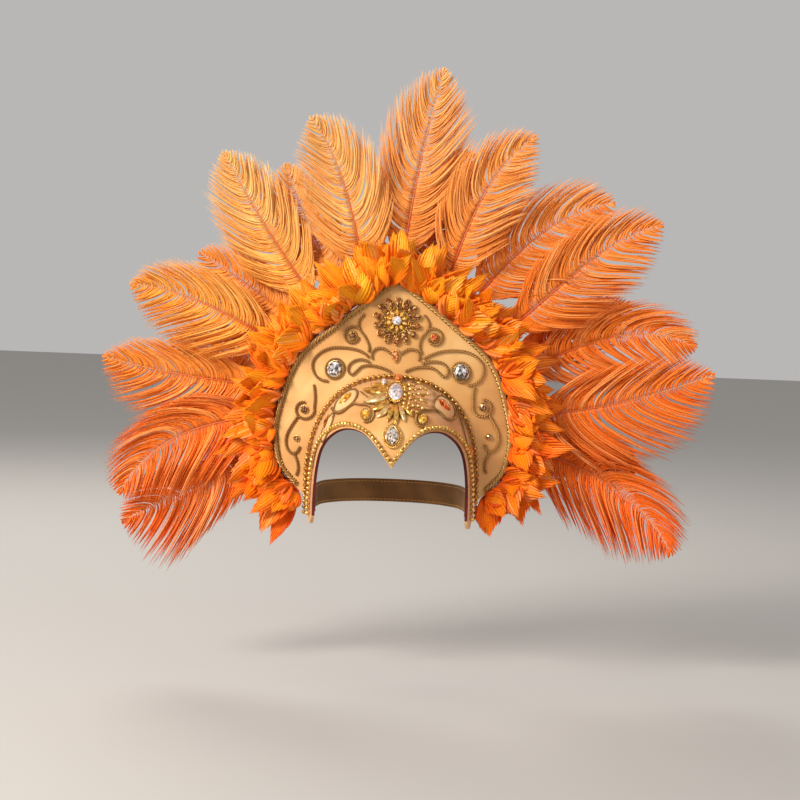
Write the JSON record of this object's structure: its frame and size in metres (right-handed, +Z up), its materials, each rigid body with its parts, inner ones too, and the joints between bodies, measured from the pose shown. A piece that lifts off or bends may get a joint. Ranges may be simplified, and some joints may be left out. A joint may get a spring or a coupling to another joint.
{
  "type": "carnival feather headdress",
  "caption": "Carnival headdress: a fan of curled orange ostrich plumes and a feather ruff on a gold satin crown with scrollwork, bead strings, a rosette and cut stones.",
  "frame": {"origin": "middle of the head opening, level with the ends of the two ear tabs", "axes": "+X across the fan, towards the right of someone facing the wearer; -Y forwards, the way the wearer looks; +Z up"},
  "size_m": [0.6257, 0.2027, 0.5197],
  "materials": {
    "gold_satin": "satin weave, peach gold",
    "gold_bead": "antique gold cord and beads",
    "clear_stone": "clear cut stone with foiled back",
    "amber_stone": "amber cut stone with foiled back",
    "plume_orange": "ostrich feather, dyed orange",
    "ruff_orange": "short curled feather, dyed yellow-orange to red-orange",
    "plain_band": "plain woven strap and backing"
  },
  "bodies": {
    "root": {"arch_bead_string": "gold_bead", "back_plume_1": "plume_orange", "back_plume_2": "plume_orange", "back_plume_3": "plume_orange", "back_plume_4": "plume_orange", "back_plume_5": "plume_orange", "back_plume_6": "plume_orange", "brooch": "gold_bead", "brow_bead_string": "gold_bead", "brow_cap": "gold_satin", "brow_marquise_left": "amber_stone", "brow_marquise_right": "amber_stone", "brow_round_left": "amber_stone", "brow_round_right": "amber_stone", "brow_scroll_left": "gold_bead", "brow_scroll_right": "gold_bead", "crest_scroll_left": "gold_bead", "crest_scroll_right": "gold_bead", "crest_stone_left": "amber_stone", "crest_stone_right": "amber_stone", "crown_plaque": "gold_satin", "crystal_left": "clear_stone", "crystal_right": "clear_stone", "feather_backing": "plain_band", "foot_stone_left": "amber_stone", "foot_stone_right": "amber_stone", "head_band": "plain_band", "heart_motif": "amber_stone", "leaf_scroll_left": "gold_bead", "leaf_scroll_right": "gold_bead", "peak_stone": "clear_stone", "plaque_edge_braid": "gold_bead", "plume_01": "plume_orange", "plume_02": "plume_orange", "plume_03": "plume_orange", "plume_04": "plume_orange", "plume_05": "plume_orange", "plume_06": "plume_orange", "plume_07": "plume_orange", "plume_08": "plume_orange", "plume_09": "plume_orange", "plume_10": "plume_orange", "plume_11": "plume_orange", "plume_12": "plume_orange", "plume_13": "plume_orange", "rosette": "amber_stone", "ruff_left_high": "ruff_orange", "ruff_left_low": "ruff_orange", "ruff_right_high": "ruff_orange", "ruff_right_low": "ruff_orange", "ruff_top": "ruff_orange", "side_scroll_left": "gold_bead", "side_scroll_right": "gold_bead", "side_stone_left": "amber_stone", "side_stone_right": "amber_stone", "temple_marquise_left": "amber_stone", "temple_marquise_right": "amber_stone", "wing_scroll_left": "gold_bead", "wing_scroll_right": "gold_bead"}
  },
  "joints": []
}
